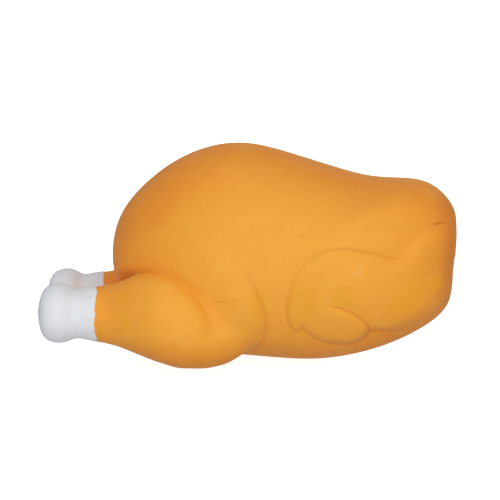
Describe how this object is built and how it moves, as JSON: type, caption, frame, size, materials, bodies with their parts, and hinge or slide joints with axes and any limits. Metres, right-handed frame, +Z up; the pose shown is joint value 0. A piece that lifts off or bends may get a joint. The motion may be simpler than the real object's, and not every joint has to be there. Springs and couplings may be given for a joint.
{
  "type": "squeaking rubber chicken",
  "caption": "Hollow latex roast-chicken prop with drumsticks, relief wings and white bone ends. The breast squeezes in and the legs bend.",
  "frame": {"origin": "centre of the footprint on the floor, the bird lying on its back", "axes": "+X towards the neck end, legs towards -X, +Z up through the breast, the bird's left side at -Y"},
  "size_m": [0.2825, 0.1528, 0.147],
  "materials": {
    "skin": "soft matt latex",
    "bone": "white dipped paint, satin",
    "squeaker": "natural",
    "reed": "bright"
  },
  "bodies": {
    "shell": {"back_shell": "skin", "breast_wall": "skin", "left_thigh": "skin", "left_calf": "skin", "left_leg_flex": "skin", "left_wing": "skin", "left_wing_tip": "skin", "right_thigh": "skin", "right_calf": "skin", "right_leg_flex": "skin", "right_wing": "skin", "right_wing_tip": "skin", "squeaker_body": "squeaker", "squeaker_grille": "squeaker", "reed_channel": "squeaker", "reed_clamp": "squeaker"},
    "breast": {"breast_crown": "skin"},
    "left_bone": {"left_bone_end": "bone"},
    "right_bone": {"right_bone_end": "bone"},
    "reed": {"squeaker_reed": "reed"}
  },
  "joints": [
    {"name": "squeeze", "type": "slide", "parent": "shell", "child": "breast", "axis": [0, 0, -1], "range_m": [0, 0.02], "stiffness_N_per_m": 1000, "springref_m": -0.002, "deforming": ["breast_wall"]},
    {"name": "left_leg_bend", "type": "hinge", "parent": "shell", "child": "left_bone", "pos_m": [-0.0944, -0.0342, 0.035], "axis": [0, 1, 0], "range_deg": [-20, 20], "stiffness_Nm_per_rad": 2, "deforming": ["left_leg_flex"]},
    {"name": "right_leg_bend", "type": "hinge", "parent": "shell", "child": "right_bone", "pos_m": [-0.0944, 0.0342, 0.035], "axis": [0, 1, 0], "range_deg": [-20, 20], "stiffness_Nm_per_rad": 2, "deforming": ["right_leg_flex"]},
    {"name": "reed_flutter", "type": "hinge", "parent": "shell", "child": "reed", "pos_m": [0.1248, 0, 0.08], "axis": [0, 1, 0], "range_deg": [-3, 3], "stiffness_Nm_per_rad": 0.001}
  ]
}
